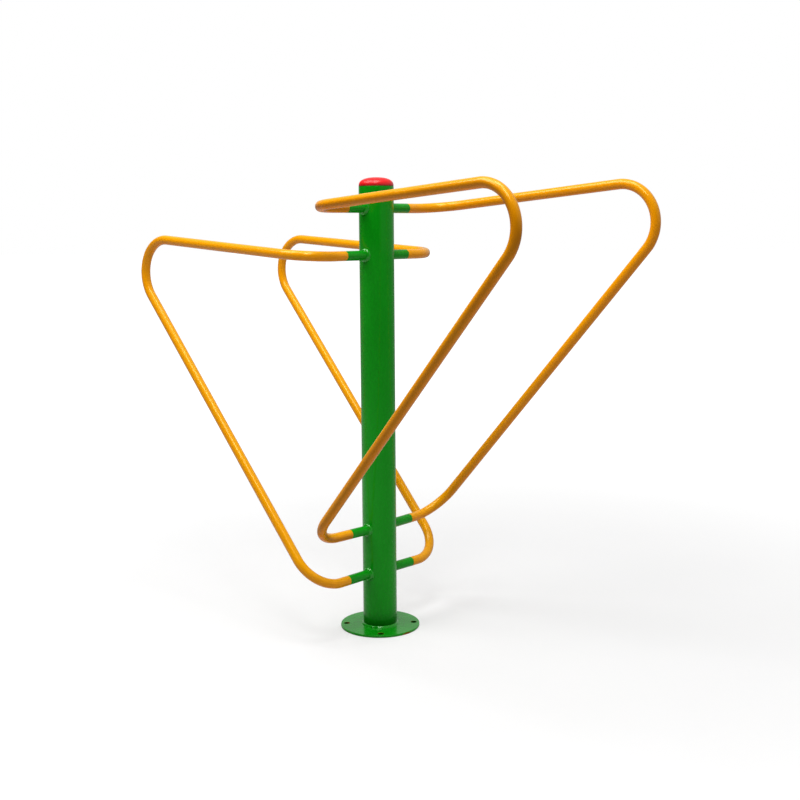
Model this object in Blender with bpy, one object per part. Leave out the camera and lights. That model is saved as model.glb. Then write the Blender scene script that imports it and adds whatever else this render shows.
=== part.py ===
"""Outdoor parallel bars: one post on a flange plate with a high pair and a low pair of bent tube bars.

Metres, +Z up. The origin is the centre of the flange's underside. The high pair runs to +X and the low pair
to -X. The front bar of each pair is on the -Y side of the post and the rear bar on the +Y side. Each bar is one
bent tube: it leaves the post sideways on a stub, turns outward, rises to its far end, turns back through the
nose and comes down a long diagonal to a second stub.
"""

import math

import bmesh
import bpy
from mathutils import Matrix, Vector

# Post and cap
POST_DIAMETER = 0.1143
POST_WALL = 0.004
POST_ABOVE_ROOTS = 0.0695
CAP_DOME_HEIGHT = 0.029
CAP_RIM_HEIGHT = 0.002
CAP_RIM_INSET = 0.0003
CAP_WALL = 0.003
CAP_SKIRT_DEPTH = 0.036
CAP_SKIRT_WALL = 0.0025
CAP_RIB_HEIGHT = 0.002
CAP_RIB_COUNT = 3

# Flange plate and its weld
FLANGE_DIAMETER = 0.268
FLANGE_THICKNESS = 0.008
FLANGE_EDGE_BREAK = 0.001
BOLT_EDGE_DISTANCE = 0.0195
BOLT_HOLE_DIAMETER = 0.020
BOLT_HOLE_COUNT = 4
BASE_BEAD_LEG = 0.006

# Bar tube, its roots on the post and the joint between stub and bar
TUBE_DIAMETER = 0.032
TUBE_WALL = 0.0025
ROOT_STRAIGHT = 0.0295
SPIGOT_SHORTFALL = 0.007
SPIGOT_WALL = 0.002
STUB_BEAD_LEG = 0.0065
BEAD_BULGE = 0.0012

# Bar route
BEND_RADIUS = 0.118
BAR_LENGTH = 1.012
ROOT_SPACING = 1.067
LOW_ROOT_HEIGHT = 0.1915
PAIR_STEP = 0.152
HIGH_FRONT_RISE = 0.0755
HIGH_REAR_RISE = 0.0895
LOW_FRONT_RISE = 0.071
LOW_REAR_RISE = 0.0635

# Length of each bar's two stubs, from the face of the post to the joint
HIGH_FRONT_UPPER_STUB = 0.0735
HIGH_FRONT_LOWER_STUB = 0.076
HIGH_REAR_UPPER_STUB = 0.0975
HIGH_REAR_LOWER_STUB = 0.1005
LOW_FRONT_UPPER_STUB = 0.0905
LOW_FRONT_LOWER_STUB = 0.0955
LOW_REAR_UPPER_STUB = 0.079
LOW_REAR_LOWER_STUB = 0.095

# Outward turn of each bar about the post, in degrees
HIGH_FRONT_SPLAY = 2.4
HIGH_REAR_SPLAY = 3.0
LOW_FRONT_SPLAY = 0.7
LOW_REAR_SPLAY = 1.3

# Clearances
SEAT_GAP = 0.0003
SLIP_GAP = 0.0003
CUT_OVERRUN = 0.002
MERGE_DISTANCE = 0.00001

# Facets, as counts and degrees
POST_SIDES = 48
TUBE_SIDES = 16
BEAD_SIDES = 20
HOLE_SIDES = 20
DOME_STEPS = 6
UNDERSIDE_STEPS = 3
BEAD_STEPS = 2
BEND_STEP = 12.0
SMOOTH_ANGLE = 30.0

# Squareness of the dome's outline: 2 is an ellipse, more is flatter on top
DOME_POWER = 2.4

# Sizes that follow from the ones above
post_radius = POST_DIAMETER / 2
post_bore = post_radius - POST_WALL
flange_radius = FLANGE_DIAMETER / 2
bolt_circle_radius = flange_radius - BOLT_EDGE_DISTANCE
tube_radius = TUBE_DIAMETER / 2
tube_bore = tube_radius - TUBE_WALL
high_front_joints = (post_radius + HIGH_FRONT_UPPER_STUB, post_radius + HIGH_FRONT_LOWER_STUB)
high_rear_joints = (post_radius + HIGH_REAR_UPPER_STUB, post_radius + HIGH_REAR_LOWER_STUB)
low_front_joints = (post_radius + LOW_FRONT_UPPER_STUB, post_radius + LOW_FRONT_LOWER_STUB)
low_rear_joints = (post_radius + LOW_REAR_UPPER_STUB, post_radius + LOW_REAR_LOWER_STUB)
farthest_joint = max(high_front_joints + high_rear_joints + low_front_joints + low_rear_joints)
bar_offset = farthest_joint + ROOT_STRAIGHT + BEND_RADIUS
spigot_insertion = ROOT_STRAIGHT - SPIGOT_SHORTFALL
low_root = LOW_ROOT_HEIGHT
high_root = LOW_ROOT_HEIGHT + PAIR_STEP
post_top = high_root + ROOT_SPACING + POST_ABOVE_ROOTS

# Each bar: name, side of the post along X, side along Y, height of its lower root, distances of its upper and
# lower joint from the post's axis, rise and outward turn
BARS = (
    ("high_bar_front", 1, -1, high_root, high_front_joints, HIGH_FRONT_RISE, HIGH_FRONT_SPLAY),
    ("high_bar_rear", 1, 1, high_root, high_rear_joints, HIGH_REAR_RISE, HIGH_REAR_SPLAY),
    ("low_bar_front", -1, -1, low_root, low_front_joints, LOW_FRONT_RISE, LOW_FRONT_SPLAY),
    ("low_bar_rear", -1, 1, low_root, low_rear_joints, LOW_REAR_RISE, LOW_REAR_SPLAY),
)

# Finishes: linear colour, roughness and metallic value
GREEN_COAT = ((0.010, 0.190, 0.014, 1.0), 0.28, 0.0)
YELLOW_COAT = ((0.780, 0.300, 0.010, 1.0), 0.30, 0.0)
RED_PLASTIC = ((0.700, 0.012, 0.016, 1.0), 0.25, 0.0)
BARE_STEEL = ((0.380, 0.370, 0.360, 1.0), 0.45, 1.0)


def clear_scene():
    """Remove whatever the file holds."""
    for item in list(bpy.data.objects):
        bpy.data.objects.remove(item, do_unlink=True)


def finish(item, look):
    """Give an object a Principled material of its own."""
    colour, roughness, metallic = look
    material = bpy.data.materials.new(item.name + "_finish")
    material.use_nodes = True
    shader = material.node_tree.nodes["Principled BSDF"]
    shader.inputs["Base Color"].default_value = colour
    shader.inputs["Roughness"].default_value = roughness
    shader.inputs["Metallic"].default_value = metallic
    item.data.materials.append(material)


def add_object(name, bm, look=None):
    """Put a finished bmesh in the scene, its faces turned outward and its round sides shaded smooth."""
    bmesh.ops.recalc_face_normals(bm, faces=bm.faces[:])
    mesh = bpy.data.meshes.new(name)
    bm.to_mesh(mesh)
    bm.free()
    mesh.shade_smooth()
    mesh.set_sharp_from_angle(angle=math.radians(SMOOTH_ANGLE))
    item = bpy.data.objects.new(name, mesh)
    bpy.context.scene.collection.objects.link(item)
    if look:
        finish(item, look)
    return item


def turned(name, profile, sides, look, ring=False):
    """Turn a profile of (radius, height) points about Z. A ring's profile closes on itself, off the axis."""
    bm = bmesh.new()
    points = [bm.verts.new((radius, 0.0, height)) for radius, height in profile]
    lines = [bm.edges.new(pair) for pair in zip(points, points[1:])]
    if ring:
        lines.append(bm.edges.new((points[-1], points[0])))
    bmesh.ops.spin(bm, geom=points + lines, cent=(0, 0, 0), axis=(0, 0, 1), angle=math.tau, steps=sides)
    bmesh.ops.remove_doubles(bm, verts=bm.verts[:], dist=MERGE_DISTANCE)
    return add_object(name, bm, look)


def lofted(name, rings, look):
    """Skin a run of equal rings that closes on itself, such as a tube's outside and then its bore."""
    bm = bmesh.new()
    loops = [[bm.verts.new(point) for point in ring] for ring in rings]
    for first, second in zip(loops, loops[1:] + loops[:1]):
        for index, corner in enumerate(first):
            following = (index + 1) % len(first)
            bm.faces.new((corner, first[following], second[following], second[index]))
    return add_object(name, bm, look)


def circle_angles(sides):
    return [math.tau * step / sides for step in range(sides)]


def rounded_route(corners, radius):
    """Stations (point, direction) along straight runs, each inner corner rounded to the radius."""
    stations = [(corners[0], (corners[1] - corners[0]).normalized())]
    for before, corner, after in zip(corners, corners[1:], corners[2:]):
        arriving = (corner - before).normalized()
        leaving = (after - corner).normalized()
        turn = arriving.angle(leaving)
        axis = arriving.cross(leaving).normalized()
        inward = axis.cross(arriving) * radius
        start = corner - arriving * radius * math.tan(turn / 2)
        centre = start + inward
        steps = math.ceil(turn / math.radians(BEND_STEP))
        for step in range(steps + 1):
            swing = Matrix.Rotation(turn * step / steps, 3, axis)
            stations.append((centre - swing @ inward, swing @ arriving))
    stations.append((corners[-1], (corners[-1] - corners[-2]).normalized()))
    return stations


def tube_rings(stations, radius):
    """Rings of one radius along a route, without twist between them. The first has a corner at the top."""
    rings = []
    up = Vector((0, 0, 1))
    heading = stations[0][1]
    for point, direction in stations:
        up = heading.rotation_difference(direction) @ up
        heading = direction
        side = direction.cross(up)
        rings.append([point + (up * math.cos(angle) + side * math.sin(angle)) * radius
                      for angle in circle_angles(TUBE_SIDES)])
    return rings


def swept_tube(name, stations, outer, inner, look):
    """Hollow tube along a route, open at both ends."""
    outside = tube_rings(stations, outer)
    bore = tube_rings(stations, inner)
    return lofted(name, outside + bore[::-1], look)


def root_frame(side_x, side_y, splay):
    """Turn of one bar about the post: outward by the splay, whichever quarter the bar is in."""
    return Matrix.Rotation(math.radians(splay) * side_x * side_y, 3, "Z")


def root_point(frame, side_y, across, away, height):
    """Place seen from a root: across it, away from the post's axis along it, and up."""
    return frame @ Vector((across, away * side_y, height))


def post_face(across, clearance):
    """Distance from the post's axis to its surface along a root, at an offset across the root."""
    return math.sqrt((post_radius + clearance) ** 2 - across ** 2)


def make_base_flange():
    """Round plate, its edges broken, with the bolt holes on the diagonals between the bars."""
    bm = bmesh.new()
    bmesh.ops.create_cone(bm, cap_ends=True, segments=POST_SIDES, radius1=flange_radius,
                          radius2=flange_radius, depth=FLANGE_THICKNESS,
                          matrix=Matrix.Translation((0, 0, FLANGE_THICKNESS / 2)))
    plate = add_object("base_flange", bm, GREEN_COAT)
    edges = plate.modifiers.new("edge break", "BEVEL")
    edges.width = FLANGE_EDGE_BREAK
    edges.segments = 1
    edges.limit_method = "ANGLE"

    bm = bmesh.new()
    for index in range(BOLT_HOLE_COUNT):
        angle = math.tau * (index + 0.5) / BOLT_HOLE_COUNT
        place = Vector((math.cos(angle), math.sin(angle), 0)) * bolt_circle_radius
        place.z = FLANGE_THICKNESS / 2
        bmesh.ops.create_cone(bm, cap_ends=True, segments=HOLE_SIDES, radius1=BOLT_HOLE_DIAMETER / 2,
                              radius2=BOLT_HOLE_DIAMETER / 2, depth=FLANGE_THICKNESS + 2 * CUT_OVERRUN,
                              matrix=Matrix.Translation(place))
    cutter = add_object("bolt_hole_cutter", bm)
    cutter.hide_render = True
    cutter.display_type = "WIRE"
    holes = plate.modifiers.new("bolt holes", "BOOLEAN")
    holes.operation = "DIFFERENCE"
    holes.solver = "EXACT"
    holes.object = cutter


def make_post_tube():
    """Round tube standing on the flange."""
    foot = FLANGE_THICKNESS + SEAT_GAP
    profile = [(post_radius, foot), (post_radius, post_top), (post_bore, post_top), (post_bore, foot)]
    turned("post_tube", profile, POST_SIDES, GREEN_COAT, ring=True)


def bead_section(leg):
    """Section of a fillet bead as (off the upright wall, off the flat wall), from the root round its crown."""
    section = [(SEAT_GAP, SEAT_GAP)]
    for step in range(BEAD_STEPS + 1):
        share = step / BEAD_STEPS
        swell = BEAD_BULGE * math.sin(math.pi * share) * math.sqrt(0.5)
        off_upright = SEAT_GAP + (leg - SEAT_GAP) * share + swell
        off_flat = leg - (leg - SEAT_GAP) * share + swell
        section.append((off_upright, off_flat))
    return section


def make_base_bead():
    """Fillet bead round the foot of the post."""
    profile = [(post_radius + out, FLANGE_THICKNESS + up) for out, up in bead_section(BASE_BEAD_LEG)]
    turned("base_bead", profile, POST_SIDES, GREEN_COAT, ring=True)


def dome_profile(radius, height, base, steps):
    """Half outline of a dome from its crown to its rim, squarer than an ellipse."""
    outline = []
    for step in range(steps):
        angle = math.pi / 2 * step / steps
        out = radius * math.sin(angle) ** (2 / DOME_POWER)
        up = height * math.cos(angle) ** (2 / DOME_POWER)
        outline.append((out, base + up))
    outline.append((radius, base))
    return outline


def make_post_cap():
    """Moulded cap: a hollow dome just inside the post's edge, its skirt held in the bore by sharp ribs."""
    seat = post_top + SEAT_GAP
    shoulder = seat + CAP_RIM_HEIGHT
    rim = post_radius - CAP_RIM_INSET
    crown = CAP_DOME_HEIGHT - CAP_RIM_HEIGHT
    skirt = post_bore - SLIP_GAP - CAP_RIB_HEIGHT
    skirt_bore = skirt - CAP_SKIRT_WALL
    skirt_foot = seat - CAP_SKIRT_DEPTH
    rib_pitch = CAP_SKIRT_DEPTH / (CAP_RIB_COUNT + 1)

    profile = dome_profile(rim, crown, shoulder, DOME_STEPS)
    profile += [(rim, seat), (skirt, seat)]
    for index in range(CAP_RIB_COUNT):
        lip = seat - rib_pitch * (index + 1)
        profile += [(skirt + CAP_RIB_HEIGHT, lip), (skirt, lip - rib_pitch / 2)]
    profile += [(skirt, skirt_foot), (skirt_bore, skirt_foot)]
    profile += dome_profile(skirt_bore, crown - CAP_WALL, shoulder, UNDERSIDE_STEPS)[::-1]
    turned("post_cap", profile, POST_SIDES, RED_PLASTIC)


def root_ring(frame, side_y, height, radius, sides, reach):
    """Ring round a root's axis. Reach turns an offset across the root into a distance from the post's axis."""
    ring = []
    for angle in circle_angles(sides):
        across = radius * math.sin(angle)
        ring.append(root_point(frame, side_y, across, reach(across), height + radius * math.cos(angle)))
    return ring


def make_stub(name, frame, side_y, height, joint):
    """Short tube coped to the post at one end and cut square at the joint."""
    def coped(across):
        return post_face(across, SEAT_GAP)

    def square(across):
        return joint - SEAT_GAP

    outline = ((tube_radius, coped), (tube_radius, square), (tube_bore, square), (tube_bore, coped))
    rings = [root_ring(frame, side_y, height, radius, TUBE_SIDES, reach) for radius, reach in outline]
    lofted(name, rings, GREEN_COAT)


def make_stub_bead(name, frame, side_y, height):
    """Fillet bead round a stub's root, saddle-shaped because it follows the round of the post."""
    rings = []
    for off_stub, off_post in bead_section(STUB_BEAD_LEG):
        def saddle(across, clearance=off_post):
            return post_face(across, clearance)

        rings.append(root_ring(frame, side_y, height, tube_radius + off_stub, BEAD_SIDES, saddle))
    lofted(name, rings, GREEN_COAT)


def make_spigot(name, frame, side_y, height, joint):
    """Sleeve inside the joint, half in the stub and half in the bar, clear of the bore's flats."""
    outer = tube_bore * math.cos(math.pi / TUBE_SIDES) - SLIP_GAP
    near = root_point(frame, side_y, 0, joint - spigot_insertion, height)
    far = root_point(frame, side_y, 0, joint + spigot_insertion, height)
    direction = (far - near).normalized()
    swept_tube(name, [(near, direction), (far, direction)], outer, outer - SPIGOT_WALL, BARE_STEEL)


def make_bar(name, side_x, side_y, lower_root, joints, rise, splay):
    """One bar with its stubs, beads and spigots."""
    frame = root_frame(side_x, side_y, splay)
    upper_root = lower_root + ROOT_SPACING
    upper_joint, lower_joint = joints
    corners = [
        root_point(frame, side_y, 0, upper_joint, upper_root),
        root_point(frame, side_y, 0, bar_offset, upper_root),
        root_point(frame, side_y, BAR_LENGTH * side_x, bar_offset, upper_root + rise),
        root_point(frame, side_y, 0, bar_offset, lower_root),
        root_point(frame, side_y, 0, lower_joint, lower_root),
    ]
    swept_tube(name, rounded_route(corners, BEND_RADIUS), tube_radius, tube_bore, YELLOW_COAT)
    for level, height, joint in (("upper", upper_root, upper_joint), ("lower", lower_root, lower_joint)):
        root = f"{name}_{level}"
        make_stub(root + "_stub", frame, side_y, height, joint)
        make_stub_bead(root + "_bead", frame, side_y, height)
        make_spigot(root + "_spigot", frame, side_y, height, joint)


def main():
    clear_scene()
    make_base_flange()
    make_post_tube()
    make_base_bead()
    make_post_cap()
    for bar in BARS:
        make_bar(*bar)


main()
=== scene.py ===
"""Looks of the outdoor parallel bars: finely shaped tubes, welds, cap and flange over the fixed frame.

Metres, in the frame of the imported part: the high pair runs to +X, the low pair to -X, and the origin is the
centre of the flange's underside. Each visible piece is a surface worked out with numpy, and stands for the
solid of its name. The spigots, hidden in the joints, keep their own mesh.
"""

import math

import bmesh
import bpy
import numpy as np
from mathutils import Matrix, Vector


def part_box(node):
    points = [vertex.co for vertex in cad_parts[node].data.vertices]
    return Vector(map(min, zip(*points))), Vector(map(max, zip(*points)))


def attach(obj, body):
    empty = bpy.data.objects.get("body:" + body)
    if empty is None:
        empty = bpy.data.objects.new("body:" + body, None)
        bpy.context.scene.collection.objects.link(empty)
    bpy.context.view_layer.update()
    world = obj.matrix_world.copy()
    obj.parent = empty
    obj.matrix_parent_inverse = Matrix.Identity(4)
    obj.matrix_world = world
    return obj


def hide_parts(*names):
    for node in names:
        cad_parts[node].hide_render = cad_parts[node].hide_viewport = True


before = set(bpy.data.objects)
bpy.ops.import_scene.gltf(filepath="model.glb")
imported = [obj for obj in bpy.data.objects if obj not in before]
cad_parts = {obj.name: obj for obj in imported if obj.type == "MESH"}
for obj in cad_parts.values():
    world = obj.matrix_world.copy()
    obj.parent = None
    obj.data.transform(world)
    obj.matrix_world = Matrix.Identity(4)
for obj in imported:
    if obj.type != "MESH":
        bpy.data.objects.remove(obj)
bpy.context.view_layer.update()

# Camera, fitted to the photo: pixels, metres and radians, the sensor in millimetres
PHOTO_SIDE = 800
FOCAL_LENGTH = 1185.01
SENSOR_WIDTH = 36.0
CAMERA_DISTANCE = 3.9106
CAMERA_HEIGHT = 1.3517
CAMERA_BEARING = 0.77245
CAMERA_YAW = 0.01863
CAMERA_PITCH = 0.14568
CAMERA_ROLL = 0.00694

# Sizes that the boxes of the nodes don't give
POST_WALL = 0.004
BOLT_EDGE_DISTANCE = 0.0195
BOLT_HOLE_RADIUS = 0.010
BASE_BEAD_LEG = 0.006
BASE_BEAD_BULGE = 0.0012
STUB_BEAD_LEG = 0.0065
STUB_BEAD_BULGE = 0.0014
TUBE_WALL = 0.0025
BEND_RADIUS = 0.118
BAR_LENGTH = 1.012
LANE_OFFSET = 0.30515
DOME_POWER = 2.4
CAP_RIM_HEIGHT = 0.002
CAP_WALL = 0.003
CAP_SKIRT_WALL = 0.0025
CAP_RIB_HEIGHT = 0.002
CAP_RIB_COUNT = 3
FIT_GAP = 0.0003

# Rounded edges, and how far surfaces sit inside the walls or the solids
EDGE_ROUND = 0.0004
RIM_ROUND = 0.001
HOLE_ROUND = 0.0006
CAP_EDGE_ROUND = 0.0007
BEAD_SINK = 0.00015
BAR_SINK = 0.00002

# Meshes: points this near are one, in metres, and an edge is sharp from this angle on, in degrees
MERGE_DISTANCE = 0.000002
SHARP_ANGLE = 40.0

# Skin of the post: drawn in round the stubs' welds and along the tube's own seam
WELD_DRAW = 0.0002
WELD_DRAW_REACH = 0.034
SEAM_BEARING = 2.2
SEAM_WIDTH = 0.004
SEAM_DEPTH = 0.00012

# Gate mark on the crown of the cap: a pip in a shallow hollow
GATE_HEIGHT = 0.00018
GATE_RADIUS = 0.0032
GATE_EDGE = 0.0005
HOLLOW_RADIUS = 0.02
HOLLOW_FADE = 0.03

# Weld beads. The swell's waves are (waves in a turn, share, times of the phase), and the stop lumps at the
# foot are (bearing, half width in radians, height). The phases keep the beads from rippling alike.
BEAD_RIPPLE = 0.00010
RIPPLE_PITCH = 0.0036
RIPPLE_BOW = 2.4
RIPPLE_POWER = 0.8
RIPPLE_MEAN = 0.6
BEAD_SWELL = 0.00010
SWELL_WAVES = ((3, 1.0, 1), (7, 0.7, 2), (13, 0.5, -1))
STOP_LUMPS = ((-1.29, 0.09, 0.0026), (-1.05, 0.08, 0.0022), (2.0, 0.06, 0.0009))
BASE_BEAD_PHASE = 0.4
BAR_PHASE = 1.7
LEVEL_PHASE = 0.9

# Bends of the bars: flattened outside by a share of the radius and wrinkled inside, eased in over an angle
BEND_FLATTENING = 0.045
BEND_EASE = 0.35
WRINKLE = 0.00005
WRINKLE_PITCH = 0.012

# Grids: points round a piece or across a part of it, and steps in metres or radians
POST_COLUMNS = 192
POST_ROW_STEP = 0.008
CAP_COLUMNS = 128
DOME_ROWS = 44
UNDERSIDE_ROWS = 16
ROUND_ROWS = 4
TUBE_COLUMNS = 48
RUN_STEP = 0.025
BEND_STEP = 0.035
BORE_STRIDE = 3
STUB_RINGS = (0.03, 0.01, 0.003)
QUARTER_COLUMNS = 48
LINE_COLUMNS = 16
SECTOR_ROWS = 18
BEAD_ROWS = 13
BASE_BEAD_COLUMNS = 432
STUB_BEAD_COLUMNS = 192
FLOOR_COLUMNS = 96
FLOOR_RADII = (60.0, 30.0, 12.0, 5.0, 2.0, 0.6, 0.0)

# Wear, dust and painted shade, from 0 to 1, and their reaches in metres. A scrape on the flange's rim is
# (bearing, half width in radians, amount), and the rust spot is placed from the middle of its hole. The
# flanks of a bar, where shade is painted, are where its skin faces the sky by the share FLANK.
EDGE_WEAR_REACH = 0.0012
POST_TOP_WEAR = 0.5
POST_TOP_REACH = 0.004
POST_FOOT_WEAR = 0.3
POST_FOOT_REACH = 0.05
# Painted shade round the foot of the post, darkest at the flange
FOOT_SHADE = 0.78
FOOT_SHADE_REACH = 0.036
# Dust and painted shade on the cap's edge, at its joint with the post
CAP_DUST_AND_SHADE_REACH = 0.003
HOLE_WEAR_REACH = 0.0011
RIM_WEAR = 0.40
RIM_SCRAPES = ((-0.06, 0.17, 0.7), (-1.75, 0.2, 0.3))
RIM_TOP_SPARED = 0.45
UNDERSIDE_WEAR = 0.55
UNDERSIDE_HEIGHT = 0.0005
# Painted shade on the walls of the bolt holes
HOLE_SHADE_DEPTH = 0.0006
RUST_SPOT = (0.0045, 0.0089)
RUST_SPOT_REACH = 0.009
RUST_SPOT_SHARE = 0.95
FLANK = 0.38
FLANK_REACH = 0.2

# Colours, linear
GREEN = (0.0040, 0.306, 0.0068)
GREEN_DEEP = (0.0028, 0.280, 0.0052)
GREEN_GLOSS = (0.06, 1.0, 0.09)
# The bars' yellow has a lit copy, painted light for the side facing up, and a deep, shaded copy, painted
# shade for the underside
YELLOW = (0.880, 0.395, 0.0012)
YELLOW_SHADED = (0.970, 0.255, 0.0008)
YELLOW_GLOSS = (1.0, 0.80, 0.03)
RED = (0.840, 0.006, 0.008)
RED_DEEP = (0.760, 0.005, 0.007)
RED_SCRATCHED = (0.86, 0.20, 0.20)
# Dust and painted shade on the cap's edge at the joint
RED_DUST_AND_SHADE = (0.045, 0.012, 0.010)
RUST = (0.400, 0.130, 0.016)
RUST_DARK = (0.022, 0.012, 0.006)
STEEL = (0.420, 0.410, 0.400)
STEEL_DARK = (0.230, 0.225, 0.220)
FLOOR_GREY = (0.490, 0.490, 0.490)
WHITE = (1.0, 1.0, 1.0)

# Tints of a colour: its share, and the grey that is added
FLECK_TINT = (0.75, 0.03)
SCUFF_TINT = (0.8, 0.05)
# Painted shade: a share of the deep colour
SHADE_TINT = (0.2, 0.0)
FLOOR_TINT = (0.97, 0.0)

# Noises: scale per metre, detail, and roughness where it isn't 0.5
RAGGED_NOISE = (420.0, 4.0, 0.7)
PEEL_NOISE = (60.0, 1.0)
PEEL_GRAIN_NOISE = (420.0, 2.0)
CAP_WAVE_NOISE = (30.0, 0.0)
CAP_GRAIN_NOISE = (700.0, 1.0)
STEEL_LINE_NOISE = (1.0, 2.0)
STEEL_STAIN_NOISE = (90.0, 3.0)
FLOOR_TONE_NOISE = (3.0, 3.0)
FLOOR_GRAIN_NOISE = (35.0, 3.0)

# Patterns: a noise's scale per metre, detail and roughness, and the values where it begins and is full
FLECKS = (700.0, 1.0, 0.5, 0.62, 0.74)
HAIRLINES = (1.0, 3.0, 0.65, 0.60, 0.70)
HAIRLINE_PATCHES = (7.0, 2.0, 0.5, 0.52, 0.68)
RUST_CLOUDS = (260.0, 3.0, 0.5, 0.35, 0.65)
COAT_SHEEN = (38.0, 3.0, 0.5, 0.3, 0.7)
CAP_CLOUDS = (22.0, 4.0, 0.6, 0.32, 0.70)
CAP_SCRATCHES = (1.0, 2.0, 0.6, 0.62, 0.70)
# Dust and painted shade at the cap's joint, broken up by noise
CAP_DUST_AND_SHADE = (300.0, 3.0, 0.5, 0.2, 0.6)
CAP_SHEEN = (120.0, 3.0, 0.5, 0.3, 0.7)

# Clouds of the coat: the same after the scale, which differs between the pieces
COAT_CLOUDS = (2.0, 0.5, 0.30, 0.72)

# Stretched patterns: their scale per metre along X, Y and Z
HAIRLINE_STRETCH = (420.0, 420.0, 9.0)
SCRATCH_STRETCH = (60.0, 900.0, 60.0)
STEEL_STRETCH = (1500.0, 40.0, 1500.0)

# Powder coat
# Share of a bar's colour set by how far its skin faces up: painted light on top, painted shade below
PAINTED_TOP_LIGHT_SHARE = 0.88
FLECK_SHARE = 0.06
SCUFF_SHARE = 0.07
RAGGEDNESS = 0.9
BARE_SPAN = (0.44, 0.58)
COAT_ROUGHNESS = (0.22, 0.30)
SCUFF_ROUGHNESS = 0.15
RUST_ROUGHNESS = 0.8
PEEL_GRAIN_SHARE = 0.3

# Cap, spigots and floor
SCRATCH_SHARE = 0.1
# Dust and painted shade at the cap's joint: its levels, and its most
CAP_DUST_AND_SHADE_LEVELS = (0.6, 1.3)
CAP_DUST_AND_SHADE_MOST = 0.85
CAP_ROUGHNESS = (0.28, 0.36)
CAP_WAVE_DEPTH = 0.00003
CAP_GRAIN_DEPTH = 0.0000008
CAP_GLOSS = 0.40
STEEL_STAIN_SPAN = (0.7, 1.3)
STEEL_LINE_SPAN = (0.3, 0.7)
STEEL_ROUGHNESS = (0.30, 0.52)
STEEL_LINE_DEPTH = 0.00002
FLOOR_ROUGHNESS = 0.9
FLOOR_GLOSS = 0.1
FLOOR_GRAIN_DEPTH = 0.0004
FLOOR_LIFT_SPAN = (0.8, 5.0)
FLOOR_LIFT = (0.42, 0.95)
FLOOR_MIRRORED = 0.06

# Softboxes, square, turned to one point: name, place, side in metres, watts
SOFTBOX_AIM = (0, 0, 1)
SOFTBOXES = (
    ("left_softbox", (-1.6, -2.1, 5.2), 3.0, 181.0),
    ("front_softbox", (1.6, -2.3, 5.1), 1.5, 92.0),
    ("overhead_softbox", (0.45, -0.5, 4.9), 1.3, 54.0),
)

# Room: the way to its white side, and the turn towards it over which each level rises
WHITE_SIDE = (0.259, 0.966, 0.0)
ROOM_TURN, ROOM_LEVELS = (-0.32, 0.10), (0.03, 0.48)
FILL_TURN, FILL_LEVELS = (-0.5, 0.5), (0.02, 0.66)

# Roots of a bar, as the nodes' names have them
LEVELS = ("upper", "lower")

# Each bar: name, side of the post along X, side along Y, length of its upper and lower stub, rise, outward
# turn in degrees, how much shade is painted on its flanks, and how far its painted shade below is lightened
BARS = (
    ("high_bar_front", 1, -1, (0.0735, 0.076), 0.0755, 2.4, 0.5, 0.0),
    ("high_bar_rear", 1, 1, (0.0975, 0.1005), 0.0895, 3.0, 0.05, 0.06),
    ("low_bar_front", -1, -1, (0.0905, 0.0955), 0.071, 0.7, 0.0, 0.25),
    ("low_bar_rear", -1, 1, (0.079, 0.095), 0.0635, 1.3, 0.0, 0.3),
)

# Sizes read from the nodes
_, flange_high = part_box("base_flange")
post_low, post_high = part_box("post_tube")
cap_low, cap_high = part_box("post_cap")
stub_low, stub_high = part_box("high_bar_front_upper_stub")
flange_radius = flange_high.x
flange_top = flange_high.z
bolt_offset = (flange_radius - BOLT_EDGE_DISTANCE) * math.sqrt(0.5)
post_radius = post_high.x
post_bore = post_radius - POST_WALL
tube_radius = (stub_high.z - stub_low.z) / 2
tube_bore = tube_radius - TUBE_WALL


# Shapes


def full_turn(columns):
    """Angles of a full turn, the last one back at the first."""
    return np.linspace(0, math.tau, columns + 1)


def apart(angles, bearing):
    """Turn from a bearing to each angle, from -pi to pi."""
    return np.angle(np.exp(1j * (angles - bearing)))


def hump(distance, reach):
    """exp(-(d / reach)^2): 1 at no distance, next to nothing at twice the reach."""
    return np.exp(-(distance / reach) ** 2)


def ebbing(distance, reach):
    """exp(-d / reach), and 1 where the distance is negative."""
    return np.exp(-distance.clip(0) / reach)


def about_z(angle):
    """Matrix of a turn about Z."""
    cosine, sine = math.cos(angle), math.sin(angle)
    return np.array([[cosine, -sine, 0], [sine, cosine, 0], [0, 0, 1]])


def lathed(radius, height, angles):
    """Profile carried round Z: x = r cos a, y = r sin a. Radius and height are [row, column] or [row, 1]."""
    return np.stack(np.broadcast_arrays(radius * np.cos(angles), radius * np.sin(angles), height), axis=-1)


def quarter_round(reach):
    """Quarter of a circle from (reach, 0) to (0, reach), as insets from the two faces that meet there."""
    angles = np.linspace(0, math.pi / 2, ROUND_ROWS)
    return reach * (1 - np.sin(angles)), reach * (1 - np.cos(angles))


def swung(vector, axis, angles):
    """A vector turned about a unit axis, once for each angle, by Rodrigues' formula:
    v cos a + (k x v) sin a + k (k.v)(1 - cos a)."""
    cosine = np.cos(angles)[:, None]
    sine = np.sin(angles)[:, None]
    return vector * cosine + np.cross(axis, vector) * sine + axis * (axis @ vector) * (1 - cosine)


def unit(vectors):
    """Vectors at a length of 1."""
    return vectors / np.linalg.norm(vectors, axis=-1, keepdims=True)


def post_face(across, clearance=0.0):
    """Distance from the post's axis to its round face along a root: the root of (R + c)^2 - x^2."""
    return np.sqrt((post_radius + clearance) ** 2 - across ** 2)


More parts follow.
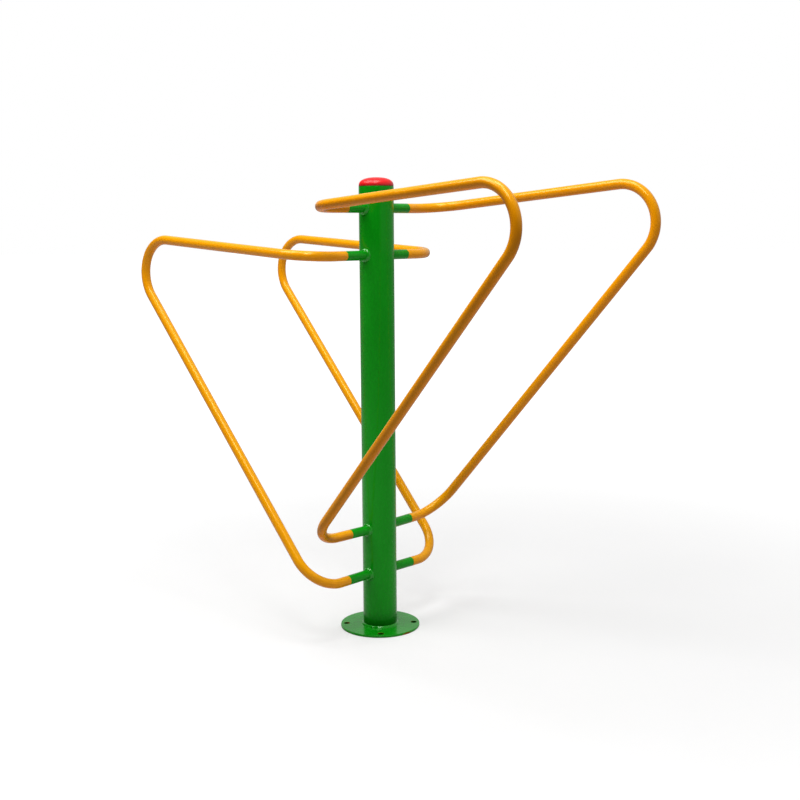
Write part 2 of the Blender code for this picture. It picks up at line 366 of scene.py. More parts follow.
class Bar:
    """A bar as a row of BARS gives it, with its turn about the post and, for each level, its root's height
    and how far its joint is from the post's axis."""

    def __init__(self, name, side_x, side_y, stubs, rise, splay, painted_shade, fade):
        self.name = name
        self.side_x = side_x
        self.side_y = side_y
        self.rise = rise
        # Painted shade on the flanks, and painted light lifting the shade below
        self.painted_shade = painted_shade
        self.fade = fade
        outward = math.radians(splay) * side_x * side_y
        self.turn = about_z(outward)
        self.bearing = math.pi / 2 * side_y + outward
        self.heights = {}
        self.joints = {}
        for level, stub in zip(LEVELS, stubs):
            low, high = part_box(f"{name}_{level}_stub")
            self.heights[level] = (low.z + high.z) / 2
            self.joints[level] = post_radius + stub

    def from_root(self, across, away, height):
        """Points seen from a root: across it, away from the post's axis along it, and up."""
        points = np.stack(np.broadcast_arrays(across, away * self.side_y, height), axis=-1)
        return points @ self.turn.T


bars = [Bar(*row) for row in BARS]


# Meshes


def sheet_mesh(name, sheets):
    """Mesh of sheets of points, each a grid [row, column, xyz], with a four-sided face between each four."""
    faces = []
    first = 0
    for sheet in sheets:
        rows, columns = sheet.shape[:2]
        index = first + np.arange(rows * columns).reshape(rows, columns)
        corners = (index[:-1, :-1], index[:-1, 1:], index[1:, 1:], index[1:, :-1])
        faces.append(np.stack(corners, axis=-1).reshape(-1, 4))
        first += rows * columns
    points = np.concatenate([sheet.reshape(-1, 3) for sheet in sheets])
    mesh = bpy.data.meshes.new(name)
    mesh.from_pydata(points.tolist(), [], np.concatenate(faces).tolist())
    return mesh


def merge_points(mesh, closed=True):
    """Merge the points that meet, and turn the faces of a closed mesh outwards."""
    bm = bmesh.new()
    bm.from_mesh(mesh)
    bmesh.ops.remove_doubles(bm, verts=bm.verts[:], dist=MERGE_DISTANCE)
    if closed:
        bmesh.ops.recalc_face_normals(bm, faces=bm.faces[:])
    bm.to_mesh(mesh)
    bm.free()


def add_object(name, data):
    """New object in the scene."""
    item = bpy.data.objects.new(name, data)
    bpy.context.scene.collection.objects.link(item)
    return item


def add_piece(solid, sheets, slot, look, **marks):
    """Piece that stands for a solid, from sheets that are closed and joined where their points meet.

    Each mark has an array for each sheet: a number or a vector for each point, or one for each row.
    """
    name = solid + "_fine"
    mesh = sheet_mesh(name, sheets)
    for mark, parts in marks.items():
        kind, key = ("FLOAT", "value") if parts[0].ndim == 2 else ("FLOAT_VECTOR", "vector")
        full = [np.broadcast_to(part, sheet.shape[:part.ndim]) for part, sheet in zip(parts, sheets)]
        values = np.concatenate([part.ravel() for part in full]).astype(np.float32)
        mesh.attributes.new(mark, kind, "POINT").data.foreach_set(key, values)
    merge_points(mesh)
    mesh.shade_smooth()
    mesh.set_sharp_from_angle(angle=math.radians(SHARP_ANGLE))
    mesh.materials.append(look)

    piece = add_object(name, mesh)
    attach(piece, "root")
    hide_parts(solid)


# Post, cap and flange


def make_post(look):
    """Tube wall turned about Z.

    Its radius is drawn in a little round each stub's weld, by exp(-(d / reach)^2) of the distance d over the
    skin, and dips along the tube's own seam, by the same of the distance round it. The rims are rounded and
    the bore is plain. Painted shade darkens the foot, by exp(-(h / reach)^2) of the height h over the flange.
    """
    foot, top = post_low.z, post_high.z
    inset, drop = quarter_round(EDGE_ROUND)
    rows = max(2, round((top - foot) / POST_ROW_STEP))
    wall = np.linspace(foot, top - EDGE_ROUND, rows)
    radius = np.concatenate([np.full(rows, post_radius), post_radius - inset[::-1], post_bore + inset,
                             [post_bore, post_bore, post_radius]])
    height = np.concatenate([wall, top - drop[::-1], top - drop, [top - EDGE_ROUND, foot, foot]])

    angles = full_turn(POST_COLUMNS)
    draw = np.zeros((len(radius), len(angles)))
    for bar in bars:
        off = apart(angles, bar.bearing) * post_radius
        for level in LEVELS:
            up = height - bar.heights[level]
            draw += WELD_DRAW * hump(np.hypot(off[None, :], up[:, None]), WELD_DRAW_REACH)
    draw += SEAM_DEPTH * hump(apart(angles, SEAM_BEARING) * post_radius, SEAM_WIDTH)
    draw[rows:] = 0
    grid = lathed(radius[:, None] - draw, height[:, None], angles)

    wear = POST_TOP_WEAR * ebbing(top - height, POST_TOP_REACH)
    wear += POST_FOOT_WEAR * ebbing(height - foot, POST_FOOT_REACH)
    # Painted shade at the foot
    soil = FOOT_SHADE * hump(height - foot, FOOT_SHADE_REACH)
    add_piece("post_tube", [grid], "post_green", look, wear=[wear[:, None]], soil=[soil[:, None]])


def dome(radius, height, base, rows):
    """Half outline from crown to rim, |r / R|^p + |z / H|^p = 1 with p DOME_POWER, even in its own angle."""
    angle = np.linspace(0, math.pi / 2, rows)
    out = radius * np.sin(angle) ** (2 / DOME_POWER)
    up = height * np.cos(angle).clip(0) ** (2 / DOME_POWER)
    return np.stack([out, base + up], axis=-1)


def make_cap(look):
    """Moulded plug cap turned about Z: dome, rounded rim, ribbed skirt and the dome's hollow underside.

    The crown has a gate mark. Round a low pip, whose edge is a step of tanh, the dome is lower by the pip's
    height, and further out that lowering fades in a straight line.
    """
    seat = post_high.z + FIT_GAP
    rim = cap_high.x
    shoulder = seat + CAP_RIM_HEIGHT
    crown = cap_high.z - shoulder
    skirt = post_bore - FIT_GAP - CAP_RIB_HEIGHT
    skirt_bore = skirt - CAP_SKIRT_WALL
    pitch = (seat - cap_low.z) / (CAP_RIB_COUNT + 1)

    outer = dome(rim, crown, shoulder, DOME_ROWS)
    out = outer[:, 0]
    step = (1 + np.tanh((out - GATE_RADIUS) / GATE_EDGE)) / 2
    fading = np.clip((out - HOLLOW_RADIUS) / HOLLOW_FADE, 0, 1)
    outer[:, 1] -= GATE_HEIGHT * step * (1 - fading)
    inset, drop = quarter_round(CAP_EDGE_ROUND)
    lip = np.stack([rim - inset, seat + drop], axis=-1)[::-1]
    ribs = [(skirt, seat)]
    for index in range(CAP_RIB_COUNT):
        level = seat - pitch * (index + 1)
        ribs += [(skirt + CAP_RIB_HEIGHT, level), (skirt, level - pitch / 2)]
    ribs += [(skirt, cap_low.z), (skirt_bore, cap_low.z)]
    under = dome(skirt_bore, crown - CAP_WALL, shoulder, UNDERSIDE_ROWS)[::-1]
    radius, height = np.concatenate([outer, lip, ribs, under]).T[..., None]

    grid = lathed(radius, height, full_turn(CAP_COLUMNS))
    # The cap's wear mark is dust and painted shade, darkest at the joint with the post
    add_piece("post_cap", [grid], "cap_red", look, wear=[ebbing(height - seat, CAP_DUST_AND_SHADE_REACH)])


def flange_wear(points):
    """Bareness of the coat: it ebbs away from the bolt holes and from the rim, where it is less towards the
    top and most where the plate was dragged, by exp(-(b / width)^2) of the bearing b from a scrape. The
    underside has one value."""
    flat, height = points[..., :2], points[..., 2]
    bearing = np.arctan2(flat[..., 1], flat[..., 0])
    off_hole = np.linalg.norm(np.abs(flat) - bolt_offset, axis=-1) - BOLT_HOLE_RADIUS
    off_rim = flange_radius - np.linalg.norm(flat, axis=-1)
    dragged = RIM_WEAR
    for place, width, amount in RIM_SCRAPES:
        dragged = dragged + amount * hump(bearing - place, width)
    low = 1 - RIM_TOP_SPARED * np.clip(height / flange_top, 0, 1)
    at_rim = ebbing(off_rim, EDGE_WEAR_REACH) * dragged * low
    below = (height < UNDERSIDE_HEIGHT) * UNDERSIDE_WEAR
    return np.maximum(np.maximum(ebbing(off_hole, HOLE_WEAR_REACH), at_rim), below)


def flange_soil(points):
    """Painted shade on the walls of the bolt holes, in full from a set depth down. Rust shows through it on
    one side of the hole to -X and -Y, by exp(-(d / reach)^2) of the distance d from the rust spot."""
    flat = points[..., :2]
    inside = np.linalg.norm(np.abs(flat) - bolt_offset, axis=-1) < BOLT_HOLE_RADIUS + HOLE_ROUND / 2
    rusty = hump(np.linalg.norm(flat + bolt_offset - RUST_SPOT, axis=-1), RUST_SPOT_REACH)
    depth = np.clip((flange_top - points[..., 2]) / HOLE_SHADE_DEPTH, 0, 1)
    return inside * depth * (1 - RUST_SPOT_SHARE * rusty)


def plate_edge(reach):
    """Edge of the plate with both corners rounded, from the top down, as (inset, height)."""
    inset, drop = quarter_round(reach)
    return np.concatenate([inset, inset[::-1]]), np.concatenate([flange_top - drop, drop[::-1]])


def make_flange(look):
    """Round plate with four bolt holes.

    Each face is four quarters. A quarter is a grid of lines from the rim of its hole to the quarter's
    outline, the lines' points at (1 - cos) steps so that they are close at both ends. The plate's edge is a
    profile turned about Z, and each hole's wall the same about the hole, both with rounded corners.
    """
    arc = np.linspace(-math.pi / 4, math.pi / 4, QUARTER_COLUMNS + 1)
    rim = (flange_radius - RIM_ROUND) * np.stack([np.cos(arc), np.sin(arc)], axis=-1)
    share = np.linspace(0, 1, LINE_COLUMNS + 1)[:, None]
    outline = np.concatenate([rim[0] * share, rim[1:], rim[-1] * (1 - share[1:])])
    hole = np.array([flange_radius - BOLT_EDGE_DISTANCE, 0.0])
    ways = unit(outline - hole)
    start = hole + ways * (BOLT_HOLE_RADIUS + HOLE_ROUND)
    step = ((1 - np.cos(np.linspace(0, math.pi, SECTOR_ROWS))) / 2)[:, None, None]
    flat = start + (outline - start) * step

    inset, height = plate_edge(HOLE_ROUND)
    wall = hole + ways * (BOLT_HOLE_RADIUS + inset)[:, None, None]
    wall_height = np.broadcast_to(height[:, None], wall.shape[:2])

    sheets = []
    for quarter in range(4):
        turn = about_z(math.pi / 2 * (quarter + 0.5))
        for level in (flange_top, 0.0):
            sheets.append(np.dstack([flat, np.full(flat.shape[:2], level)]) @ turn.T)
        sheets.append(np.dstack([wall, wall_height]) @ turn.T)
    inset, height = plate_edge(RIM_ROUND)
    sheets.append(lathed(flange_radius - inset[:, None], height[:, None], full_turn(4 * QUARTER_COLUMNS)))

    # Painted shade in the bolt holes, with the rust spot showing through
    add_piece("base_flange", sheets, "flange_green", look, wear=[flange_wear(sheet) for sheet in sheets],
              soil=[flange_soil(sheet) for sheet in sheets])


# Welds


def bead_section(leg, bulge):
    """Closed section of a fillet bead as (share across the face, off the upright wall, off the flat wall).

    The face runs from the toe on the upright wall to the toe on the flat one, a straight line raised by a
    half sine as high as the bulge. Both toes and the corner between them sit a little inside the walls, so
    that no gap shows.
    """
    share = np.linspace(0, 1, BEAD_ROWS)
    swell = bulge * math.sqrt(0.5) * np.sin(math.pi * share)
    off_upright = -BEAD_SINK + (leg + BEAD_SINK) * share + swell
    off_flat = leg - (leg + BEAD_SINK) * share + swell
    closed = [np.concatenate([off, [-BEAD_SINK], off[:1]]) for off in (off_upright, off_flat)]
    return share, *closed


def ripples(share, angles, length, phase):
    """Crescent ripples of a hand-laid weld: |cos| of the turn to a power, bowed by the square of the place
    across the face, and a slow swell of the bead's own width from three sines. Both die away to the toes as a
    half sine."""
    count = round(length / RIPPLE_PITCH)
    bow = RIPPLE_BOW * (2 * share - 1) ** 2
    wave = np.abs(np.cos(count * angles / 2 + phase + bow[:, None])) ** RIPPLE_POWER - RIPPLE_MEAN
    slow = sum(part * np.sin(waves * angles + times * phase) for waves, part, times in SWELL_WAVES)
    return np.sin(math.pi * share)[:, None] * (BEAD_RIPPLE * wave + BEAD_SWELL * slow)


def raised(section, lift):
    """Rows of the section's face raised by the lift, the same on both walls."""
    rows = np.repeat(section[:, None], lift.shape[1], axis=1)
    rows[:lift.shape[0]] += lift * math.sqrt(0.5)
    return rows


def make_base_bead(look):
    """Fillet bead round the foot of the post: its section turned about Z, with stop lumps that are humps
    along the turn times a half sine across the face."""
    angles = full_turn(BASE_BEAD_COLUMNS)
    share, off_post, off_plate = bead_section(BASE_BEAD_LEG, BASE_BEAD_BULGE)
    lift = ripples(share, angles, math.tau * post_radius, BASE_BEAD_PHASE)
    for bearing, width, height in STOP_LUMPS:
        lift += height * np.sin(math.pi * share)[:, None] * hump(apart(angles, bearing), width)
    grid = lathed(post_radius + raised(off_post, lift), flange_top + raised(off_plate, lift), angles)
    add_piece("base_bead", [grid], "bead_green", look)


def make_root_bead(bar, level, phase, look):
    """Saddle-shaped fillet bead: rings about the root's axis, each point at its clearance from the post."""
    angles = full_turn(STUB_BEAD_COLUMNS)
    share, off_stub, off_post = bead_section(STUB_BEAD_LEG, STUB_BEAD_BULGE)
    lift = ripples(share, angles, math.tau * (tube_radius + STUB_BEAD_LEG / 2), phase)
    radius = tube_radius + raised(off_stub, lift)
    across = radius * np.sin(angles)
    away = post_face(across, raised(off_post, lift))
    grid = bar.from_root(across, away, bar.heights[level] + radius * np.cos(angles))
    add_piece(f"{bar.name}_{level}_bead", [grid], "bead_green", look)


# Stubs and bars


def make_stub(bar, level, look):
    """Short tube about the root's axis: coped to the post's face at one end, square with a rounded edge at
    the other, and its bore back to the cope."""
    inset, back = quarter_round(EDGE_ROUND)
    end = bar.joints[level] - FIT_GAP
    cope = math.nan
    rows = [(tube_radius, cope)]
    rows += [(tube_radius, end - length) for length in STUB_RINGS]
    rows += [(tube_radius - depth, end - length) for depth, length in zip(inset[::-1], back[::-1])]
    rows += [(tube_bore, end), (tube_bore, cope), (tube_radius, cope)]
    radius, square = np.array(rows).T[..., None]
    angles = full_turn(TUBE_COLUMNS)
    across = radius * np.sin(angles)
    away = np.where(np.isnan(square), post_face(across, FIT_GAP), square)
    grid = bar.from_root(across, away, bar.heights[level] + radius * np.cos(angles))
    wear = ebbing(end - away, EDGE_WEAR_REACH)
    add_piece(f"{bar.name}_{level}_stub", [grid], "stub_green", look, wear=[wear])


def bar_route(corners):
    """Centreline of a bar: its route, an array of places, directions and up vectors [which, row, xyz], and
    how far each row is into a bend, 0 to 1.

    Straight runs have even steps. A bend is the arc of BEND_RADIUS that touches both runs, its radius,
    direction and up vector swung about the bend's axis, so that the tube doesn't twist.
    """
    ways = unit(np.diff(corners, axis=0))
    up = np.array([0.0, 0.0, 1.0])
    start = corners[0]
    places, headings, ups, bends = [], [], [], []

    def straight_run(end, way, closed):
        count = max(2, math.ceil(np.linalg.norm(end - start) / RUN_STEP))
        share = np.linspace(0, 1, count + closed, endpoint=closed)[:, None]
        places.append(start + (end - start) * share)
        headings.append(np.repeat(way[None, :], len(share), axis=0))
        ups.append(np.repeat(up[None, :], len(share), axis=0))
        bends.append(np.zeros(len(share)))

    for corner, way, after in zip(corners[1:-1], ways, ways[1:]):
        turn = math.acos(way @ after)
        axis = unit(np.cross(way, after))
        reach = BEND_RADIUS * math.tan(turn / 2)
        entry = corner - way * reach
        straight_run(entry, way, False)
        angles = np.linspace(0, turn, math.ceil(turn / BEND_STEP), endpoint=False)
        inward = np.cross(axis, way) * BEND_RADIUS
        places.append(entry + inward - swung(inward, axis, angles))
        headings.append(swung(way, axis, angles))
        ups.append(swung(up, axis, angles))
        depth = np.clip(np.minimum(angles, turn - angles) / BEND_EASE, 0, 1)
        bends.append(depth * depth * (3 - 2 * depth))
        up = swung(up, axis, np.array([turn]))[0]
        start = corner + after * reach
    straight_run(corners[-1], ways[-1], True)
    route = np.stack([np.concatenate(part) for part in (places, headings, ups)])
    return route, np.concatenate(bends)


def ring_ways(route):
    """Ways out from a route to its rings: up cos a + side sin a, with the side square to heading and up."""
    _, headings, ups = route[:, :, None]
    angles = full_turn(TUBE_COLUMNS)[None, :, None]
    return ups * np.cos(angles) + np.cross(headings, ups) * np.sin(angles)


def tube_rings(route, radius):
    """Rings about a route, at radii [row, column] or [row, 1]."""
    return route[0][:, None] + ring_ways(route) * radius[..., None]


def pressed_radius(route, bends, along):
    """Radii of a bar's skin.

    In a bend its outer side is flattened by the square of how squarely a point faces outwards, and its inner
    side carries faint wrinkles, a cosine of the distance along. The whole skin is lower by BAR_SINK, since
    its finer bends reach further out than the solid's facets.
    """
    curving = np.where(bends[:, None] > 0, np.gradient(route[1], axis=0), 0)
    inward = curving / np.maximum(np.linalg.norm(curving, axis=1, keepdims=True), np.finfo(float).tiny)
    facing = np.einsum("rcx,rx->rc", ring_ways(route), inward)
    flattened = tube_radius * BEND_FLATTENING * bends[:, None] * (-facing).clip(0) ** 2
    wave = 1 + np.cos(math.tau * along / WRINKLE_PITCH)[:, None]
    return tube_radius - BAR_SINK - flattened - WRINKLE * bends[:, None] * facing.clip(0) * wave


def make_bar(bar, look):
    """One bent tube, with rounded ends, and a bore that follows the same route.

    Painted shade lies along the flanks, by exp(-((s - FLANK) / FLANK_REACH)^2) of how far the skin faces the
    sky, s from 0 to 1. The painted top light mark is s, which makes the top lit and the underside shaded, and
    on some bars it starts from a set lightening of the underside in place of 0. The straight mark is each
    point's place on the same tube laid straight along Z.
    """
    lane = LANE_OFFSET * bar.side_y
    upper, lower = (bar.heights[level] for level in LEVELS)
    upper_joint, lower_joint = (bar.joints[level] * bar.side_y for level in LEVELS)
    corners = np.array([
        (0, upper_joint, upper),
        (0, lane, upper),
        (BAR_LENGTH * bar.side_x, lane, upper + bar.rise),
        (0, lane, lower),
        (0, lower_joint, lower),
    ]) @ bar.turn.T
    route, bends = bar_route(corners)
    along = np.concatenate([[0], np.cumsum(np.linalg.norm(np.diff(route[0], axis=0), axis=1))])
    length = along[-1]

    skin = tube_rings(route, pressed_radius(route, bends, along))
    inset, back = quarter_round(EDGE_ROUND)
    lips = []
    for row, sign in ((0, 1), (-1, -1)):
        end = np.repeat(route[:, [row]], len(back), axis=1)
        end[0] += end[1] * back[:, None] * sign
        lips.append(tube_rings(end, (tube_radius - inset)[:, None]))
    coarse = np.unique(np.append(np.arange(0, len(along), BORE_STRIDE), len(along) - 1))[::-1]
    bore = tube_rings(route[:, coarse], np.full((len(coarse), 1), tube_bore))
    grid = np.concatenate([lips[0], skin[1:-1], lips[1][::-1], bore, lips[0][:1]])

    reach = np.concatenate([back, along[1:-1], length - back[::-1], along[coarse], back[:1]])[:, None]
    straight = lathed(np.array([[tube_radius]]), reach, full_turn(TUBE_COLUMNS))
    # How far the skin faces up, which paints the top lit and the underside shaded
    facing_up = (1 + ring_ways(route)[..., 2]) / 2
    first, last = (np.repeat(facing_up[[row]], len(back), axis=0) for row in (0, -1))
    sky = np.concatenate([first, facing_up[1:-1], last, np.zeros(bore.shape[:2]), first[:1]])
    # Marks: painted shade along the flanks, and painted top light, lightened below on some bars
    add_piece(bar.name, [grid], "bar_yellow", look,
              wear=[ebbing(np.minimum(reach, length - reach), EDGE_WEAR_REACH)],
              soil=[bar.painted_shade * hump(sky - FLANK, FLANK_REACH)],
              sky=[bar.fade + (1 - bar.fade) * sky],
              straight=[straight])


# Materials


def fill(node, values):
    """Set a node's sockets by name or place: another node's output is linked, anything else is a value."""
    for key, value in values.items():
        socket = node.inputs[key]
        if isinstance(value, bpy.types.NodeSocket):
            node.id_data.links.new(value, socket)
        elif socket.type == "RGBA":
            socket.default_value = (*value, 1.0)
        else:
            socket.default_value = value


def tinted(colour, tint):
    """Share of a colour with grey added."""
    share, grey = tint
    return tuple(share * part + grey for part in colour)


class Shading:
    """Node tree. Each method adds a node and gives back its output."""

    def __init__(self, tree):
        self.tree = tree

    def node(self, kind, values, output=0, **settings):
        node = self.tree.nodes.new(kind)
        for key, value in settings.items():
            setattr(node, key, value)
        fill(node, values)
        return node.outputs[output]

    def rays(self):
        """Whether a ray comes from the camera, and whether from a surface that mirrors or lets it through."""
        path = self.tree.nodes.new("ShaderNodeLightPath")
        mirrored = self.math("MAXIMUM", path.outputs["Is Glossy Ray"], path.outputs["Is Transmission Ray"])
        return path.outputs["Is Camera Ray"], mirrored

    def math(self, operation, first, second):
        return self.node("ShaderNodeMath", {0: first, 1: second}, operation=operation)

    def vector_math(self, operation, values):
        """Number from vectors."""
        return self.node("ShaderNodeVectorMath", values, "Value", operation=operation)

    def scaled(self, value, share):
        """Share of a value."""
        return self.math("MULTIPLY", value, share)

    def between(self, share, first, second):
        """Number between two."""
        return self.node("ShaderNodeMix", {0: share, 2: first, 3: second}, data_type="FLOAT")

    def mixed(self, share, first, second):
        """Colour between two."""
        return self.node("ShaderNodeMix", {0: share, 6: first, 7: second}, 2, data_type="RGBA")

    def span(self, value, low, high, to_low=0.0, to_high=1.0):
        """Value moved smoothly from one range to another, and kept in it."""
        return self.node("ShaderNodeMapRange", {"Value": value, 1: low, 2: high, 3: to_low, 4: to_high},
                         interpolation_type="SMOOTHSTEP")


class Finish(Shading):
    """Node tree of one material."""

    def __init__(self, name):
        self.material = bpy.data.materials.new(name)
        self.material.use_nodes = True
        super().__init__(self.material.node_tree)

    def place(self):
        """Point on the piece, in metres."""
        return self.node("ShaderNodeTexCoord", {}, "Object")

    def mark(self, name, output="Fac"):
        """One of the mesh's own values."""
        return self.node("ShaderNodeAttribute", {}, output, attribute_name=name)

    def stretched(self, place, scale):
        return self.node("ShaderNodeMapping", {"Vector": place, "Scale": scale})

    def noise(self, place, scale, detail, roughness=0.5):
        return self.node("ShaderNodeTexNoise",
                         {"Vector": place, "Scale": scale, "Detail": detail, "Roughness": roughness})

    def pattern(self, place, settings, *levels):
        """Noise that runs from 0 to 1, or between the levels, from where it begins to where it is full."""
        scale, detail, roughness, begins, full = settings
        return self.span(self.noise(place, scale, detail, roughness), begins, full, *levels)

    def bump(self, height, distance, normal=None):
        values = {"Height": height, "Distance": distance}
        if normal is not None:
            values["Normal"] = normal
        return self.node("ShaderNodeBump", values)

    def done(self, values):
        fill(self.tree.nodes["Principled BSDF"], values)
        return self.material


def powder_coat(name, colours, clouds, bare=0.0, inner=0.25, clear=0.3, haze=0.06, peel=0.00002, bar=False):
    """Glossy powder coat: clouded colour, fine flecks, orange-peel skin, faint hairlines along the piece,
    painted shade, and rust where the mesh says that the coat is worn.

    The colours are the coat's, a deeper one, which on a bar is its shaded copy, and that of its inner gloss.
    Clouds is how many of them a metre holds, and bare is how much of the mesh's wear shows. Inner and clear
    are the two glosses, and haze is the clear one's roughness. Peel is the depth of the orange-peel skin in
    metres.
    A bar's marks follow its length, and on a bar the colour is painted light on the side that faces up and
    painted shade on the underside.
    """
    colour, deep_or_shaded, gloss = colours
    finish = Finish(name)
    place = finish.mark("straight", "Vector") if bar else finish.place()
    cloud = finish.pattern(place, (clouds, *COAT_CLOUDS))
    # On a bar, painted light and shade: the colour goes from the shaded copy below to the lit copy on top
    if bar:
        faded = finish.scaled(finish.mark("sky"), PAINTED_TOP_LIGHT_SHARE)
        cloud = finish.math("ADD", finish.scaled(cloud, 1 - PAINTED_TOP_LIGHT_SHARE), faded)
    coat = finish.mixed(cloud, deep_or_shaded, colour)
    fleck = finish.pattern(place, FLECKS)
    coat = finish.mixed(finish.scaled(fleck, FLECK_SHARE), coat, tinted(colour, FLECK_TINT))

    hairline = finish.pattern(finish.stretched(place, HAIRLINE_STRETCH), HAIRLINES)
    scuff = finish.math("MULTIPLY", hairline, finish.pattern(place, HAIRLINE_PATCHES))
    coat = finish.mixed(finish.scaled(scuff, SCUFF_SHARE), coat, tinted(colour, SCUFF_TINT))

    ragged = finish.math("SUBTRACT", finish.noise(place, *RAGGED_NOISE), 0.5)
    bared = finish.math("ADD", finish.scaled(finish.mark("wear"), bare), finish.scaled(ragged, RAGGEDNESS))
    bared = finish.span(bared, *BARE_SPAN)
    coat = finish.mixed(bared, coat, finish.mixed(finish.pattern(place, RUST_CLOUDS), RUST_DARK, RUST))
    # Painted shade from the mesh: at the post's foot, in the bolt holes and along the bars' flanks
    painted_shade = finish.mark("soil")
    coat = finish.mixed(painted_shade, coat, tinted(deep_or_shaded, SHADE_TINT))

    rough = finish.pattern(place, COAT_SHEEN, *COAT_ROUGHNESS)
    rough = finish.math("ADD", rough, finish.scaled(scuff, SCUFF_ROUGHNESS))
    rough = finish.math("MAXIMUM", rough, finish.scaled(bared, RUST_ROUGHNESS))
    # The clear gloss thins where the coat is bared and where shade is painted
    coat_left = finish.math("SUBTRACT", 1.0, finish.math("MAXIMUM", bared, painted_shade))

    skin = finish.bump(finish.noise(place, *PEEL_NOISE), peel)
    grain = finish.bump(finish.noise(place, *PEEL_GRAIN_NOISE), PEEL_GRAIN_SHARE * peel, skin)
    return finish.done({
        "Base Color": coat, "Roughness": rough, "Normal": grain,
        "Specular IOR Level": inner, "Specular Tint": gloss,
        "Coat Weight": finish.scaled(coat_left, clear), "Coat Roughness": haze, "Coat Normal": skin,
    })


def moulded_plastic():
    """Glossy red moulding: slow fading, a fine moulded grain, hairline scratches, and dust with painted shade
    at the joint.
    """
    finish = Finish("cap_plastic")
    place = finish.place()
    body = finish.mixed(finish.pattern(place, CAP_CLOUDS), RED_DEEP, RED)
    scratch = finish.pattern(finish.stretched(place, SCRATCH_STRETCH), CAP_SCRATCHES)
    body = finish.mixed(finish.scaled(scratch, SCRATCH_SHARE), body, RED_SCRATCHED)
    # Dust and painted shade darken the edge at the joint
    dust_and_shade = finish.math("MULTIPLY", finish.mark("wear"), finish.pattern(place, CAP_DUST_AND_SHADE, *CAP_DUST_AND_SHADE_LEVELS))
    body = finish.mixed(finish.math("MINIMUM", dust_and_shade, CAP_DUST_AND_SHADE_MOST), body, RED_DUST_AND_SHADE)
    rough = finish.pattern(place, CAP_SHEEN, *CAP_ROUGHNESS)
    rough = finish.math("ADD", rough, finish.scaled(scratch, SCUFF_ROUGHNESS))
    waves = finish.bump(finish.noise(place, *CAP_WAVE_NOISE), CAP_WAVE_DEPTH)
    grain = finish.bump(finish.noise(place, *CAP_GRAIN_NOISE), CAP_GRAIN_DEPTH, waves)
    return finish.done({
        "Base Color": body, "Roughness": rough, "Normal": grain, "Specular IOR Level": CAP_GLOSS,
    })


def drawn_steel():
    """Bare drawn steel: fine lines along the sleeve and slow staining."""
    finish = Finish("spigot_steel_drawn")
    place = finish.place()
    lines = finish.noise(finish.stretched(place, STEEL_STRETCH), *STEEL_LINE_NOISE)
    stain = finish.noise(place, *STEEL_STAIN_NOISE)
    stained = finish.span(finish.math("ADD", lines, stain), *STEEL_STAIN_SPAN)
    return finish.done({
        "Base Color": finish.mixed(stained, STEEL_DARK, STEEL), "Metallic": 1.0,
        "Roughness": finish.span(lines, *STEEL_LINE_SPAN, *STEEL_ROUGHNESS),
        "Normal": finish.bump(lines, STEEL_LINE_DEPTH),
    })


# Stage


def place_camera():
    """Camera where the photo was taken from: turned to its heading, tipped down by the pitch, and rolled."""
    lens = bpy.data.cameras.new("photo_camera")
    lens.sensor_fit = "HORIZONTAL"
    lens.sensor_width = SENSOR_WIDTH
    lens.lens = SENSOR_WIDTH * FOCAL_LENGTH / PHOTO_SIDE
    camera = add_object("photo_camera", lens)
    place = Matrix.Translation((CAMERA_DISTANCE * math.sin(CAMERA_BEARING),
                                -CAMERA_DISTANCE * math.cos(CAMERA_BEARING), CAMERA_HEIGHT))
    heading = Matrix.Rotation(CAMERA_BEARING - CAMERA_YAW, 4, "Z")
    tip = Matrix.Rotation(math.pi / 2 - CAMERA_PITCH, 4, "X")
    camera.matrix_world = place @ heading @ tip @ Matrix.Rotation(-CAMERA_ROLL, 4, "Z")
    bpy.context.scene.camera = camera


def add_softbox(name, place, side, power):
    """Soft square lamp, itself unseen by the camera."""
    light = bpy.data.lights.new(name, "AREA")
    light.shape = "SQUARE"
    light.size = side
    light.energy = power
    lamp = add_object(name, light)
    lamp.location = place
    lamp.rotation_euler = (Vector(SOFTBOX_AIM) - Vector(place)).to_track_quat("-Z", "Y").to_euler()
    lamp.visible_camera = False


def light_studio():
    """A large softbox high on the left, two weaker ones high in front and overhead, in a room that is white
    to +Y and dim to -Y.

    Both what is mirrored of the room and its even light on the surfaces rise smoothly between two levels,
    with the turn towards the white side. The camera sees the room plain white.
    """
    for softbox in SOFTBOXES:
        add_softbox(*softbox)

    world = bpy.data.worlds.new("studio_room")
    bpy.context.scene.world = world
    world.use_nodes = True
    shading = Shading(world.node_tree)
    way = shading.node("ShaderNodeTexCoord", {}, "Generated")
    toward = shading.vector_math("DOT_PRODUCT", {0: way, 1: WHITE_SIDE})
    camera, mirrored = shading.rays()
    room = shading.span(toward, *ROOM_TURN, *ROOM_LEVELS)
    fill_light = shading.span(toward, *FILL_TURN, *FILL_LEVELS)
    level = shading.between(camera, shading.between(mirrored, fill_light, room), 1.0)
    fill(world.node_tree.nodes["Background"], {"Color": WHITE, "Strength": level})


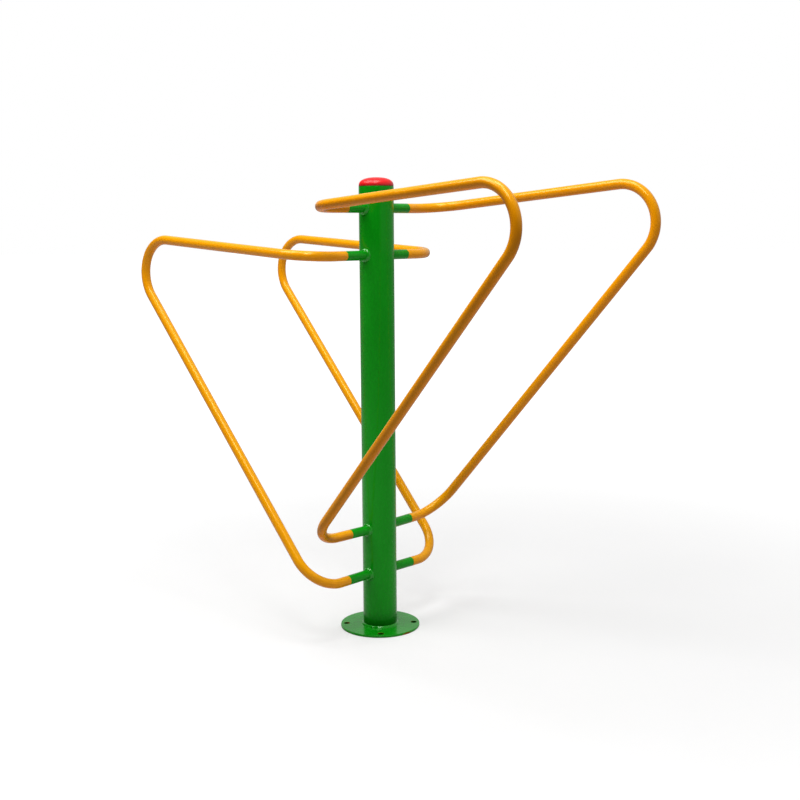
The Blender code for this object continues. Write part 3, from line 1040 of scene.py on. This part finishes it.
def lay_floor():
    """Plain pale floor, a disc. What the camera and the glossy coat see of it is lifted towards white, more
    so further out, and the shadow stays in it."""
    radii = np.array(FLOOR_RADII)[:, None]
    mesh = sheet_mesh("floor", [lathed(radii, np.zeros_like(radii), full_turn(FLOOR_COLUMNS))])
    merge_points(mesh, closed=False)

    finish = Finish("floor_paint")
    place = finish.place()
    out = finish.vector_math("LENGTH", {0: place})
    camera, mirrored = finish.rays()
    seen = finish.math("MAXIMUM", camera, finish.scaled(mirrored, FLOOR_MIRRORED))
    lift = finish.math("MULTIPLY", seen, finish.span(out, *FLOOR_LIFT_SPAN, *FLOOR_LIFT))
    tone = finish.mixed(finish.noise(place, *FLOOR_TONE_NOISE), FLOOR_GREY, tinted(FLOOR_GREY, FLOOR_TINT))
    mesh.materials.append(finish.done({
        "Base Color": tone, "Roughness": FLOOR_ROUGHNESS, "Specular IOR Level": FLOOR_GLOSS,
        "Normal": finish.bump(finish.noise(place, *FLOOR_GRAIN_NOISE), FLOOR_GRAIN_DEPTH),
        "Emission Color": WHITE, "Emission Strength": lift,
    }))
    add_object("floor", mesh)


def main():
    bpy.context.scene.view_settings.view_transform = "Standard"
    place_camera()
    light_studio()
    lay_floor()

    green = (GREEN, GREEN_DEEP, GREEN_GLOSS)
    yellow = (YELLOW, YELLOW_SHADED, YELLOW_GLOSS)
    post_look = powder_coat("post_coat", green, clouds=5.0, bare=0.25)
    stub_look = powder_coat("stub_coat", green, clouds=14.0, bare=0.35)
    bead_look = powder_coat("bead_coat", green, clouds=30.0, clear=1.0, haze=0.13)
    flange_look = powder_coat("flange_coat", green, clouds=9.0, bare=0.8, clear=0.5)
    bar_look = powder_coat("bar_coat", yellow, clouds=6.0, bare=0.35, inner=0.4, clear=0.33, haze=0.20,
                           peel=0.000005, bar=True)

    make_flange(flange_look)
    make_post(post_look)
    make_base_bead(bead_look)
    make_cap(moulded_plastic())
    for number, bar in enumerate(bars):
        make_bar(bar, bar_look)
        for step, level in enumerate(LEVELS):
            make_stub(bar, level, stub_look)
            make_root_bead(bar, level, BAR_PHASE * number + LEVEL_PHASE * step, bead_look)

    steel = drawn_steel()
    for name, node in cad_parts.items():
        if name.endswith("_spigot"):
            node.data.materials.clear()
            node.data.materials.append(steel)


main()
